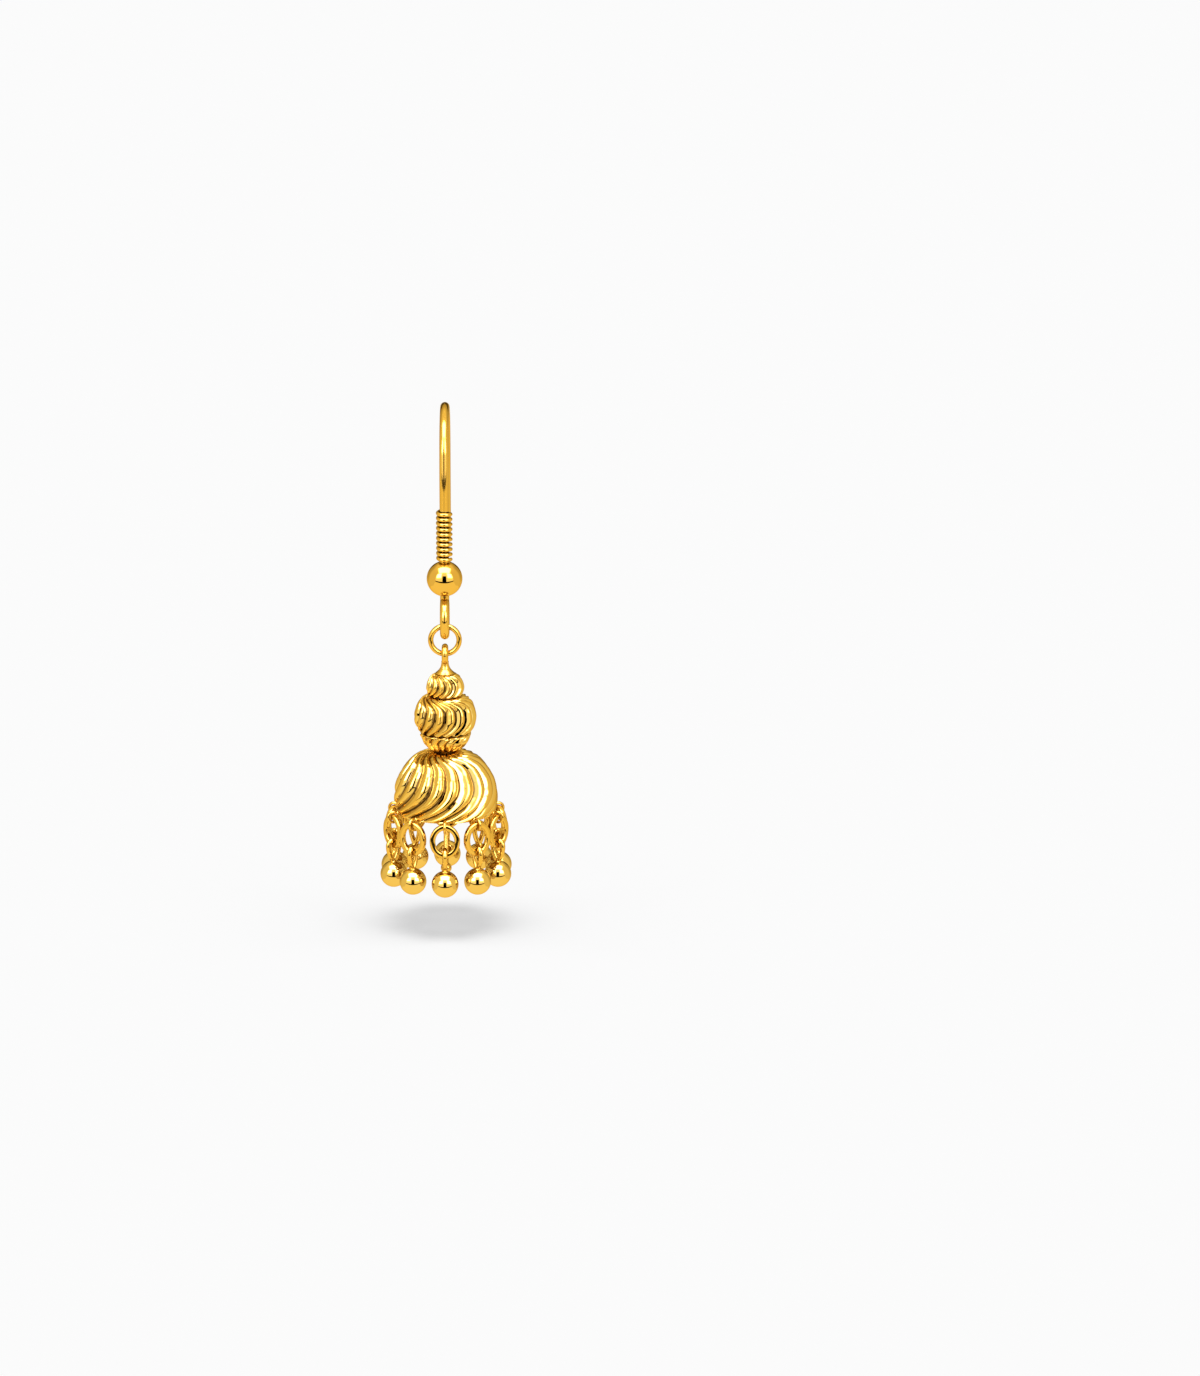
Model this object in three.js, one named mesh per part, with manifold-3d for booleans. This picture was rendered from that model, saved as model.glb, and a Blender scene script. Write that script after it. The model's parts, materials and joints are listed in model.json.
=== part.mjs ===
// A jhumka earring. A fish-hook ear wire carries a wound coil and a round bead, and ends in a closed
// loop. A jump ring links it to the drop: a looped pin through a small fluted bead, a larger one and a
// fluted cup, down into a hollow fluted dome with a fringe of round balls hanging on rings.
// Millimetres, +Z up, +X to the wearer's side seen from the front, +Y behind.
// The origin is the inside top of the hook, where it rests in the ear.

import * as THREE from 'three';
import { mergeVertices } from 'three/addons/utils/BufferGeometryUtils.js';
import Module from 'manifold-3d';

const wasm = await Module();
wasm.setup();

// Clearances
const LINK_CLEARANCE = 0.09;     // between two wires that hang in each other
const SEAT_GAP = 0.1;            // between pieces stacked on each other
const BORE_CLEARANCE = 0.12;     // round a wire inside its bore

// Ear wire
const EAR_WIRE_D = 0.77;
const HOOK_BEND_R = 4.2;         // arch over the ear, to the wire's centre line
const BACK_LEG = 8.0;            // straight leg behind the ear, below the arch
const FRONT_LEG = 3.7;           // bare wire in front, from the arch down to the coil
const FOOT_LOOP_R = 1.42;        // closed loop at the foot, to its centre line

// Wound coil and round bead on the front leg
const COIL_TURNS = 9;
const COIL_PITCH = 0.44;
const COIL_WIRE_D = 0.26;
const EAR_BEAD_D = 3.0;

// Jump ring
const JUMP_RING_R = 1.195;       // to its centre line
const JUMP_RING_WIRE_D = 0.46;

// Bail: the drop's top loop, its flared neck and its pin
const BAIL_R = 0.62;             // to its centre line
const BAIL_WIRE_D = 0.54;
const NECK_LENGTH = 0.97;        // from the loop's foot to the flare's lower face
const NECK_WAIST_D = 0.62;
const FLARE_D = 1.86;
const PIN_D = 0.4;
const COLLAR_D = 1.3;            // stop soldered on the pin under the dome's crown
const COLLAR_THICKNESS = 0.3;
const KNOB_D = 0.92;
const KNOB_BELOW_RIM = 5.1;      // knob's centre below the dome's rim

// Fluted pieces: widest radius over the lobes, height, and depth of the grooves
const SMALL_BEAD = { radius: 1.6, height: 1.8, depth: 0.1, flutes: 14 };
const MIDDLE_BEAD = { radius: 2.66, height: 3.1, depth: 0.16, flutes: 16 };
const CUP = { radius: 2.17, height: 1.5, depth: 0.12, flutes: 16 };
const DOME = { radius: 4.4, height: 5.23, depth: 0.26, flutes: 18 };
const DOME_WALL = 0.45;

// Fringe
const FRINGE_COUNT = 10;
const EYELET_WIRE_D = 0.24;
const EYELET_HEIGHT = 1.13;      // over its wire
const EYELET_ABOVE_RIM = 0.34;   // how far it reaches up the rim where it is soldered on
const EYELET_BITE = 0.05;        // how far its inner strand is let into the rim
const RIM_RING_WIRE_D = 0.48;
const RIM_RING_WIDTH = 2.56;     // over its wire
const RIM_RING_HEIGHT = 2.95;    // over its wire
const BALL_D = 2.27;
const BALL_LOOP_WIRE_D = 0.36;
const BALL_LOOP_HEIGHT = 2.05;   // from the ball's top to the loop's outer top
const BALL_LOOP_FOOT = 0.75;     // share of the ball's radius out, where the loop ends inside it
const BALL_COLLAR_D = 0.62;      // where both strands of the loop meet the ball

// Mesh fineness
const WIRE_SIDES = 8;
const LINK_SIDES = 5;
const LINK_STEPS = 14;
const COIL_STEPS_PER_TURN = 10;
const ROUND_SIDES = 14;
const BALL_SIDES = 12;
const BALL_ROWS = 8;

const GOLD = { color: 0xe9b44c, metalness: 1, roughness: 0.12 };

// Sections of each fluted piece, from its top down. Each row gives the share of the height down from
// the top, the share of the radius over the lobes, and the share of the full groove depth.
const SMALL_BEAD_SECTIONS = [
  { down: 0, out: 0.61, groove: 0.5 },
  { down: 0.14, out: 0.79, groove: 0.9 },
  { down: 0.345, out: 0.92, groove: 1 },
  { down: 0.53, out: 0.985, groove: 1 },
  { down: 0.71, out: 1, groove: 1 },
  { down: 0.92, out: 0.95, groove: 1 },
  { down: 1, out: 0.91, groove: 0.9 },
];
const MIDDLE_BEAD_SECTIONS = [
  { down: 0, out: 0.6, groove: 0.4 },
  { down: 0.035, out: 0.7, groove: 0.8 },
  { down: 0.14, out: 0.825, groove: 1 },
  { down: 0.28, out: 0.915, groove: 1 },
  { down: 0.44, out: 0.975, groove: 1 },
  { down: 0.59, out: 1, groove: 1 },
  { down: 0.74, out: 0.975, groove: 1 },
  { down: 0.88, out: 0.91, groove: 1 },
  { down: 1, out: 0.82, groove: 0.8 },
];
const CUP_SECTIONS = [
  { down: 0, out: 1, groove: 0.8 },
  { down: 0.24, out: 0.963, groove: 1 },
  { down: 0.47, out: 0.9, groove: 1 },
  { down: 0.7, out: 0.79, groove: 1 },
  { down: 0.92, out: 0.635, groove: 0.8 },
  { down: 1, out: 0.5, groove: 0.4 },
];
const DOME_SECTIONS = [
  { down: 0, out: 0.23, groove: 0.15 },
  { down: 0.012, out: 0.34, groove: 0.5 },
  { down: 0.046, out: 0.487, groove: 0.85 },
  { down: 0.105, out: 0.615, groove: 1 },
  { down: 0.2, out: 0.736, groove: 1 },
  { down: 0.312, out: 0.84, groove: 1 },
  { down: 0.445, out: 0.924, groove: 1 },
  { down: 0.58, out: 0.975, groove: 1 },
  { down: 0.72, out: 0.998, groove: 1 },
  { down: 0.85, out: 0.994, groove: 1 },
  { down: 0.945, out: 0.976, groove: 0.8 },
  { down: 1, out: 0.96, groove: 0.1 },
];

// How the grooves sweep: upright at the belly, and turned back by these degrees at the top and foot.
// The larger a power, the nearer to the end the turn starts.
const SMALL_BEAD_SWEEP = { belly: 0.45, top: 26, topPower: 2.4, foot: 28, footPower: 2.4 };
const MIDDLE_BEAD_SWEEP = { belly: 0.35, top: 45, topPower: 3, foot: 32, footPower: 3 };
const CUP_SWEEP = { belly: 0.65, top: -24, topPower: 2, foot: 0, footPower: 1 };
const DOME_SWEEP = { belly: 0.3, top: 37, topPower: 3.6, foot: 48, footPower: 2.5 };

// Neck's profile below the loop: share of the way down, and share of the way out from waist to flare.
const NECK_SECTIONS = [
  { down: 0, out: 0 },
  { down: 0.4, out: 0.04 },
  { down: 0.65, out: 0.22 },
  { down: 0.85, out: 0.58 },
  { down: 1, out: 1 },
];

// Places across one lobe where the mesh has a column, and the lobe's height there
const LOBE_COLUMNS = [0, 0.2, 0.5, 0.8];
const lobeHeight = (share) => Math.sin(Math.PI * share) ** 0.75;

// Heights that follow from the sizes above
const archZ = EAR_WIRE_D / 2 - HOOK_BEND_R;
const coilTopZ = archZ - FRONT_LEG;
const coilFootZ = coilTopZ - COIL_TURNS * COIL_PITCH - COIL_WIRE_D;
const earBeadZ = coilFootZ - SEAT_GAP - EAR_BEAD_D / 2;
const footLoopZ = earBeadZ - EAR_BEAD_D / 2 - SEAT_GAP - EAR_WIRE_D / 2 - FOOT_LOOP_R;
const jumpRingTopZ = footLoopZ - FOOT_LOOP_R + (EAR_WIRE_D + JUMP_RING_WIRE_D) / 2 + LINK_CLEARANCE;
const jumpRingZ = jumpRingTopZ - JUMP_RING_R;
const bailTopZ = jumpRingZ - JUMP_RING_R + (JUMP_RING_WIRE_D + BAIL_WIRE_D) / 2 + LINK_CLEARANCE;
const bailZ = bailTopZ - BAIL_R;
const neckTopZ = bailZ - BAIL_R;
const flareZ = neckTopZ - NECK_LENGTH;
const smallBeadZ = flareZ - SEAT_GAP;
const middleBeadZ = smallBeadZ - SMALL_BEAD.height - SEAT_GAP;
const cupZ = middleBeadZ - MIDDLE_BEAD.height - SEAT_GAP;
const domeZ = cupZ - CUP.height - SEAT_GAP;
const rimZ = domeZ - DOME.height;
const collarZ = domeZ - DOME_WALL - SEAT_GAP;
const knobZ = rimZ - KNOB_BELOW_RIM;
const rimR = DOME.radius * DOME_SECTIONS.at(-1).out;
const eyeletHalfWidth = (RIM_RING_WIRE_D + EYELET_WIRE_D) / 2 + LINK_CLEARANCE;
const eyeletHalfHeight = (EYELET_HEIGHT - EYELET_WIRE_D) / 2;
const eyeletZ = rimZ + EYELET_ABOVE_RIM - EYELET_HEIGHT / 2;
const fringeR = rimR - EYELET_BITE + eyeletHalfWidth;
const rimRingHalfWidth = (RIM_RING_WIDTH - RIM_RING_WIRE_D) / 2;
const rimRingHalfHeight = (RIM_RING_HEIGHT - RIM_RING_WIRE_D) / 2;
const rimRingZ = eyeletZ - eyeletHalfHeight + (EYELET_WIRE_D + RIM_RING_WIRE_D) / 2 + LINK_CLEARANCE
  - rimRingHalfHeight;
const ballLoopTopZ = rimRingZ - rimRingHalfHeight + (RIM_RING_WIRE_D + BALL_LOOP_WIRE_D) / 2 + LINK_CLEARANCE;
const ballZ = ballLoopTopZ + BALL_LOOP_WIRE_D / 2 - BALL_LOOP_HEIGHT - BALL_D / 2;
const boreR = PIN_D / 2 + BORE_CLEARANCE;

// A regular polygon of the given radius, as the section of a drawn wire
function wireSection(diameter, sides) {
  const shape = new THREE.Shape();
  for (let i = 0; i < sides; i += 1) {
    const angle = 2 * Math.PI * (i + 0.5) / sides;
    shape[i ? 'lineTo' : 'moveTo'](diameter / 2 * Math.cos(angle), diameter / 2 * Math.sin(angle));
  }
  shape.closePath();
  return shape;
}

// An open wire with flat ends along a curve
function openWire(curve, diameter, sides, steps) {
  return new THREE.ExtrudeGeometry(wireSection(diameter, sides), {
    steps, extrudePath: curve, curveSegments: 1,
  });
}

// Joins rows of points into a closed skin. Each row is a ring of points, and the last row joins the
// first one again, so the skin has no end.
function skinOfRows(rows) {
  const columns = rows[0].length;
  const positions = rows.flat().flatMap((p) => [p.x, p.y, p.z]);
  const indices = [];
  for (let r = 0; r < rows.length; r += 1) {
    const next = (r + 1) % rows.length;
    for (let c = 0; c < columns; c += 1) {
      const across = (c + 1) % columns;
      const a = r * columns + c;
      const b = next * columns + c;
      const d = next * columns + across;
      const e = r * columns + across;
      indices.push(a, b, d, a, d, e);
    }
  }
  const geometry = new THREE.BufferGeometry();
  geometry.setAttribute('position', new THREE.Float32BufferAttribute(positions, 3));
  geometry.setIndex(indices);
  return geometry;
}

// A closed link in the XZ plane. outline(angle) gives its centre line, with angle 0 at the top and
// growing towards +X.
function closedLink(outline, diameter, sides, steps) {
  const rows = [];
  for (let i = 0; i < steps; i += 1) {
    const angle = 2 * Math.PI * i / steps;
    const small = 1e-3;
    const centre = outline(angle);
    const along = outline(angle + small).sub(outline(angle - small)).normalize();
    const outwards = new THREE.Vector3(-along.z, 0, along.x);
    rows.push(Array.from({ length: sides }, (_, k) => {
      const turn = 2 * Math.PI * (k + 0.5) / sides;
      return centre.clone()
        .addScaledVector(outwards, diameter / 2 * Math.cos(turn))
        .add(new THREE.Vector3(0, diameter / 2 * Math.sin(turn), 0));
    }));
  }
  return skinOfRows(rows);
}

// An oval centre line in the XZ plane
const oval = (halfWidth, halfHeight) => (angle) => (
  new THREE.Vector3(halfWidth * Math.sin(angle), 0, halfHeight * Math.cos(angle)));

// Closed mesh to solid and back
function toSolid(geometry) {
  const bare = geometry.clone();
  bare.deleteAttribute('normal');
  bare.deleteAttribute('uv');
  const merged = mergeVertices(bare, 1e-5);
  return new wasm.Manifold(new wasm.Mesh({
    numProp: 3,
    vertProperties: new Float32Array(merged.attributes.position.array),
    triVerts: new Uint32Array(merged.index.array),
  }));
}

function join(...geometries) {
  const solid = geometries.map(toSolid).reduce((sum, next) => sum.add(next));
  const mesh = solid.getMesh();
  const geometry = new THREE.BufferGeometry();
  geometry.setAttribute('position', new THREE.BufferAttribute(new Float32Array(mesh.vertProperties), 3));
  geometry.setIndex(new THREE.BufferAttribute(new Uint32Array(mesh.triVerts), 1));
  return geometry;
}

function named(name, geometry) {
  const mesh = new THREE.Mesh(geometry, new THREE.MeshStandardMaterial(GOLD));
  mesh.name = name;
  return mesh;
}

// How far the grooves are turned at a share of the height, in radians about Z
function sweepAt(down, { belly, top, topPower, foot, footPower }) {
  const back = down < belly
    ? top * ((belly - down) / belly) ** topPower
    : foot * ((down - belly) / (1 - belly)) ** footPower;
  return -THREE.MathUtils.degToRad(back);
}

// One ring of points round a fluted piece. The grooves lie between its lobes, and angle 0 faces -Y.
function lobedRow({ z, radius, groove, turn, flutes }) {
  const row = [];
  for (let flute = 0; flute < flutes; flute += 1) {
    for (const share of LOBE_COLUMNS) {
      const angle = 2 * Math.PI * (flute + share) / flutes + turn;
      const r = radius - groove * (1 - lobeHeight(share));
      row.push(new THREE.Vector3(r * Math.sin(angle), -r * Math.cos(angle), z));
    }
  }
  return row;
}

// The outer rows of a fluted piece, whose top is at Z 0
function flutedRows(size, sections, sweep) {
  return sections.map(({ down, out, groove }) => lobedRow({
    z: -down * size.height,
    radius: out * size.radius,
    groove: groove * size.depth,
    turn: sweepAt(down, sweep),
    flutes: size.flutes,
  }));
}

// A plain row that keeps the columns of a fluted row beside it
function plainRow(z, radius, turn, flutes) {
  return lobedRow({ z, radius, groove: 0, turn, flutes });
}

// A fluted piece with the pin's bore through it
function flutedBead(size, sections, sweep) {
  const bore = [1, 0.5, 0].map((down) => (
    plainRow(-down * size.height, boreR, sweepAt(down, sweep), size.flutes)));
  return skinOfRows([...flutedRows(size, sections, sweep), ...bore]);
}

// The wire of one eyelet, upright in the plane through the dome's axis
function eyelet(azimuth) {
  const link = closedLink(oval(eyeletHalfWidth, eyeletHalfHeight), EYELET_WIRE_D, LINK_SIDES, 10);
  return link.rotateZ(-Math.PI / 2)
    .translate(0, -fringeR, eyeletZ - domeZ)
    .rotateZ(azimuth);
}

const fringeAzimuths = Array.from({ length: FRINGE_COUNT }, (_, i) => 2 * Math.PI * i / FRINGE_COUNT);

// The hollow dome. Its plain inside follows every second section a wall's thickness further in, and
// is flat under the crown, where the collar holds it.
function dome() {
  const outer = flutedRows(DOME, DOME_SECTIONS, DOME_SWEEP);
  const inner = DOME_SECTIONS.filter((section, i) => i > 1 && i % 2 === 1).reverse().map(({ down, out }) => {
    const z = down === 1 ? -DOME.height : -down * (DOME.height - DOME_WALL) - DOME_WALL;
    return plainRow(z, out * DOME.radius - DOME_WALL, sweepAt(down, DOME_SWEEP), DOME.flutes);
  });
  const crown = [[-DOME_WALL, COLLAR_D / 2 + BORE_CLEARANCE], [-DOME_WALL, boreR], [0, boreR]]
    .map(([z, radius]) => plainRow(z, radius, sweepAt(0, DOME_SWEEP), DOME.flutes));
  return join(skinOfRows([...outer, ...inner, ...crown]), ...fringeAzimuths.map(eyelet));
}

// The hook and front leg as one drawn wire, a round tip behind, and the closed loop at its foot
function earWire() {
  const path = new THREE.CurvePath();
  const backFoot = new THREE.Vector3(0, HOOK_BEND_R, archZ - BACK_LEG);
  const backTop = new THREE.Vector3(0, HOOK_BEND_R, archZ);
  const frontTop = new THREE.Vector3(0, -HOOK_BEND_R, archZ);
  const frontFoot = new THREE.Vector3(0, -HOOK_BEND_R, footLoopZ + FOOT_LOOP_R);
  path.add(new THREE.LineCurve3(backFoot, backTop));
  path.add(new ArchCurve(archZ));
  path.add(new THREE.LineCurve3(frontTop, frontFoot));
  const hook = openWire(path, EAR_WIRE_D, WIRE_SIDES, 42);
  const tip = new THREE.SphereGeometry(EAR_WIRE_D / 2, WIRE_SIDES, 6)
    .rotateX(Math.PI / 2).translate(0, backFoot.y, backFoot.z);
  const loop = closedLink(oval(FOOT_LOOP_R, FOOT_LOOP_R), EAR_WIRE_D, WIRE_SIDES, 18)
    .rotateZ(Math.PI / 2).translate(0, -HOOK_BEND_R, footLoopZ);
  return join(hook, tip, loop);
}

// The half circle over the ear, from back to front
class ArchCurve extends THREE.Curve {
  constructor(z) {
    super();
    this.z = z;
  }

  getPoint(t, target = new THREE.Vector3()) {
    const angle = Math.PI * t;
    return target.set(0, HOOK_BEND_R * Math.cos(angle), this.z + HOOK_BEND_R * Math.sin(angle));
  }
}

// The centre line of the coil, wound downwards round its own axis
class CoilCurve extends THREE.Curve {
  getPoint(t, target = new THREE.Vector3()) {
    const radius = EAR_WIRE_D / 2 + SEAT_GAP + COIL_WIRE_D / 2;
    const angle = 2 * Math.PI * COIL_TURNS * t;
    return target.set(radius * Math.sin(angle), -radius * Math.cos(angle), -COIL_TURNS * COIL_PITCH * t);
  }
}

function coil() {
  return openWire(new CoilCurve(), COIL_WIRE_D, LINK_SIDES, COIL_TURNS * COIL_STEPS_PER_TURN)
    .translate(0, 0, coilTopZ - COIL_WIRE_D / 2);
}

// A round bead with a bore for the ear wire
function earBead() {
  const radius = EAR_BEAD_D / 2;
  const bore = EAR_WIRE_D / 2 + BORE_CLEARANCE;
  const edge = Math.asin(bore / radius);
  const profile = [];
  for (let i = 0; i <= 9; i += 1) {
    const polar = Math.PI - edge - (Math.PI - 2 * edge) * i / 9;
    profile.push(new THREE.Vector2(radius * Math.sin(polar), radius * Math.cos(polar)));
  }
  profile.push(profile[0].clone());
  return new THREE.LatheGeometry(profile, ROUND_SIDES).rotateX(Math.PI / 2);
}

// The drop's loop, flared neck, pin, collar and knob, soldered into one
function bail() {
  const loop = closedLink(oval(BAIL_R, BAIL_R), BAIL_WIRE_D, LINK_SIDES + 1, LINK_STEPS)
    .rotateZ(Math.PI / 2).translate(0, 0, bailZ);
  const waist = NECK_WAIST_D / 2;
  const neckStart = neckTopZ + BAIL_WIRE_D / 4;
  const pin = PIN_D / 2;
  const profile = [[0, neckStart]];
  for (const { down, out } of NECK_SECTIONS) {
    profile.push([waist + (FLARE_D / 2 - waist) * out, neckStart + (flareZ - neckStart) * down]);
  }
  profile.push([pin, flareZ], [pin, collarZ], [COLLAR_D / 2, collarZ]);
  profile.push([COLLAR_D / 2, collarZ - COLLAR_THICKNESS], [pin, collarZ - COLLAR_THICKNESS]);
  const knobR = KNOB_D / 2;
  const knobStart = Math.asin(pin / knobR);
  for (let i = 0; i <= 6; i += 1) {
    const polar = knobStart + (Math.PI - knobStart) * i / 6;
    profile.push([i < 6 ? knobR * Math.sin(polar) : 0, knobZ + knobR * Math.cos(polar)]);
  }
  const points = profile.reverse().map(([r, z]) => new THREE.Vector2(r, z));
  const stem = new THREE.LatheGeometry(points, BALL_SIDES).rotateX(Math.PI / 2);
  return join(loop, stem);
}

// A ball with a narrow drop-shaped loop soldered on its top, in the plane through the dome's axis
function ballDrop() {
  const top = ballLoopTopZ - ballZ;
  const foot = BALL_D / 2 * BALL_LOOP_FOOT;
  const halfWidth = (RIM_RING_WIRE_D + BALL_LOOP_WIRE_D) / 2 + LINK_CLEARANCE;
  const bendZ = top - halfWidth;
  const footHalfWidth = (BALL_COLLAR_D - BALL_LOOP_WIRE_D) / 2;
  const outline = (angle) => {
    const side = Math.sin(angle);
    const lift = Math.cos(angle);
    if (lift >= 0) return new THREE.Vector3(halfWidth * side, 0, bendZ + halfWidth * lift);
    const narrowing = footHalfWidth + (halfWidth - footHalfWidth) * (1 - lift * lift);
    return new THREE.Vector3(narrowing * side, 0, bendZ + (bendZ - foot) * lift);
  };
  const loop = closedLink(outline, BALL_LOOP_WIRE_D, LINK_SIDES, LINK_STEPS).rotateZ(Math.PI / 2);
  const ball = new THREE.SphereGeometry(BALL_D / 2, BALL_SIDES, BALL_ROWS).rotateX(Math.PI / 2);
  return join(ball, loop);
}

// Everything that hangs in line below the front of the hook
const line = new THREE.Group();
line.position.set(0, -HOOK_BEND_R, 0);

const wireCoil = named('wire_coil', coil());
const roundBead = named('ear_wire_bead', earBead());
roundBead.position.z = earBeadZ;
const jumpRing = named('jump_ring',
  closedLink(oval(JUMP_RING_R, JUMP_RING_R), JUMP_RING_WIRE_D, LINK_SIDES + 1, LINK_STEPS + 2));
jumpRing.position.z = jumpRingZ;
line.add(wireCoil, roundBead, jumpRing);

const smallBead = named('bead_small', flutedBead(SMALL_BEAD, SMALL_BEAD_SECTIONS, SMALL_BEAD_SWEEP));
smallBead.position.z = smallBeadZ;
const middleBead = named('bead_middle', flutedBead(MIDDLE_BEAD, MIDDLE_BEAD_SECTIONS, MIDDLE_BEAD_SWEEP));
middleBead.position.z = middleBeadZ;
const cup = named('fluted_cup', flutedBead(CUP, CUP_SECTIONS, CUP_SWEEP));
cup.position.z = cupZ;
const flutedDome = named('dome', dome());
flutedDome.position.z = domeZ;
line.add(named('drop_bail', bail()), smallBead, middleBead, cup, flutedDome);

fringeAzimuths.forEach((azimuth, i) => {
  const number = String(i + 1).padStart(2, '0');
  const place = new THREE.Group();
  place.rotation.z = azimuth;
  const ring = named(`rim_ring_${number}`,
    closedLink(oval(rimRingHalfWidth, rimRingHalfHeight), RIM_RING_WIRE_D, LINK_SIDES, LINK_STEPS));
  ring.position.set(0, -fringeR, rimRingZ);
  const ball = named(`ball_drop_${number}`, ballDrop());
  ball.position.set(0, -fringeR, ballZ);
  place.add(ring, ball);
  line.add(place);
});

const earring = new THREE.Group();
earring.add(named('ear_wire', earWire()), line);

export default earring;
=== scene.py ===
# %% [markdown]
# A jhumka earring in polished gold plate.
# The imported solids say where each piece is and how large. This lesson dresses every one of them with a
# finer surface, made of whole arrays of points, and then lights the metal as a jeweller's photograph is
# lit. Polished gold has hardly a colour of its own: most of what the eye sees on it is the room around.

# %% Load the solids
import json
import math

import bpy
import numpy as np
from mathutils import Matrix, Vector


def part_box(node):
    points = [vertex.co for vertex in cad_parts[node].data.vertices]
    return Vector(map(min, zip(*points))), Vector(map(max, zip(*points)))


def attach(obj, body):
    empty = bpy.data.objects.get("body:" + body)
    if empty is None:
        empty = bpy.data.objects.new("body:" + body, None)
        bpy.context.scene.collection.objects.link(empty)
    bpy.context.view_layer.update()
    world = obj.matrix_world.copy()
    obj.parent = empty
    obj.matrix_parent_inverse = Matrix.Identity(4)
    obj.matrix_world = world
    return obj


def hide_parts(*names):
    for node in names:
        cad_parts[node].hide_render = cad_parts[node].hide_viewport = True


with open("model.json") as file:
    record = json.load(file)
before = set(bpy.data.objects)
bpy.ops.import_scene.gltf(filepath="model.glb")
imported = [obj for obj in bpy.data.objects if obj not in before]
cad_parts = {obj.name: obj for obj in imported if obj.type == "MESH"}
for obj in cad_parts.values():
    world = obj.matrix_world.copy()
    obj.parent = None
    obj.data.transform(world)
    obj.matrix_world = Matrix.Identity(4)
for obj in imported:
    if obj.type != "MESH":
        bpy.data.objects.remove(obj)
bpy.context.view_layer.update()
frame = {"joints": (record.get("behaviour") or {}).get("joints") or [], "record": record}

joints = {joint["name"]: joint for joint in frame["joints"]}
body_of_node = {node: body for body, nodes in frame["record"]["behaviour"]["bodies"].items() for node in nodes}

# %% [markdown]
# Jewellers think in millimetres and Blender in metres, so every surface below is worked out in
# millimetres and turned into metres only when its mesh is made. Places come from the solids: a box round
# each one, and the two links that swing.

# %% Places from the solids
MM = 0.001


def low(node):
    """The lowest corner of a solid's box, in millimetres."""
    return np.array(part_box(node)[0]) / MM


def high(node):
    """The highest corner of a solid's box, in millimetres."""
    return np.array(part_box(node)[1]) / MM


def middle(node):
    """The centre of a solid's box, in millimetres."""
    return (low(node) + high(node)) / 2


drop_y = joints["drop_swing"]["pos_m"][1] / MM
loop_foot_z = joints["ring_swing"]["pos_m"][2] / MM
ring_foot_z = joints["drop_swing"]["pos_m"][2] / MM
print(f"the drop hangs at y {drop_y:.2f} mm, its link at z {ring_foot_z:.2f} mm")

# %% [markdown]
# A surface is a lattice of points: rows one way, columns the other. The columns always close into a ring.
# The rows may close too, as on a wire ring, or end in a pole, as on a ball. One function turns any such
# lattice into faces, so every piece below is closed by the same few lines.

# %% Lattice to faces
def lattice(points, ends="poles", groove=None):
    """Faces for a lattice of points, rows by columns, whose columns close into a ring.
    With ends "ring" the last row joins the first. With ends "poles" the first and last rows are drawn
    together to their mean point, and a fan of triangles closes each. The sum of (a x b) . c over the
    faces is six times the volume, so where it is negative every face is turned round."""
    rows, columns = points.shape[:2]
    shade = np.zeros((rows, columns)) if groove is None else np.broadcast_to(groove, (rows, columns))
    index = np.arange(rows * columns).reshape(rows, columns)
    across = np.roll(index, -1, axis=1)
    if ends == "ring":
        below, below_across = np.roll(index, -1, axis=0), np.roll(across, -1, axis=0)
        quads = np.stack([index, below, below_across, across], axis=-1).reshape(-1, 4)
        flat, shades = points.reshape(-1, 3), shade.ravel()
        fans = np.zeros((0, 3), int)
    else:
        quads = np.stack([index[:-1], index[1:], across[1:], across[:-1]], axis=-1).reshape(-1, 4)
        poles = np.stack([points[0].mean(axis=0), points[-1].mean(axis=0)])
        flat = np.concatenate([points.reshape(-1, 3), poles])
        shades = np.concatenate([shade.ravel(), [shade[0, 0], shade[-1, 0]]])
        first, last = rows * columns, rows * columns + 1
        fans = np.concatenate([
            np.stack([np.full(columns, first), index[0], across[0]], axis=-1),
            np.stack([np.full(columns, last), across[-1], index[-1]], axis=-1),
        ])
    triangles = np.concatenate([quads[:, :3], quads[:, [0, 2, 3]], fans])
    a, b, c = flat[triangles[:, 0]], flat[triangles[:, 1]], flat[triangles[:, 2]]
    if np.einsum("ij,ij->", np.cross(a, b), c) < 0:
        quads, fans = quads[:, ::-1], fans[:, ::-1]
    return {"points": flat, "quads": quads, "fans": fans, "groove": shades}


def turned_about(shell, angle, centre=(0.0, 0.0)):
    """The same shell turned by an angle about an upright axis through centre."""
    c, s = math.cos(angle), math.sin(angle)
    offset = np.array([centre[0], centre[1], 0.0])
    spin = np.array([[c, s, 0.0], [-s, c, 0.0], [0.0, 0.0, 1.0]])
    return {**shell, "points": (shell["points"] - offset) @ spin + offset}


# %% [markdown]
# Soldered metal is one piece with several skins: a ring and the neck under it, or a dome and its ten
# eyelets. A piece takes all its skins in one mesh, rides on the body of the solid that it stands for, and
# hides that solid. Each point also keeps how deep in a groove it lies, which the finish reads later.

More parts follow.
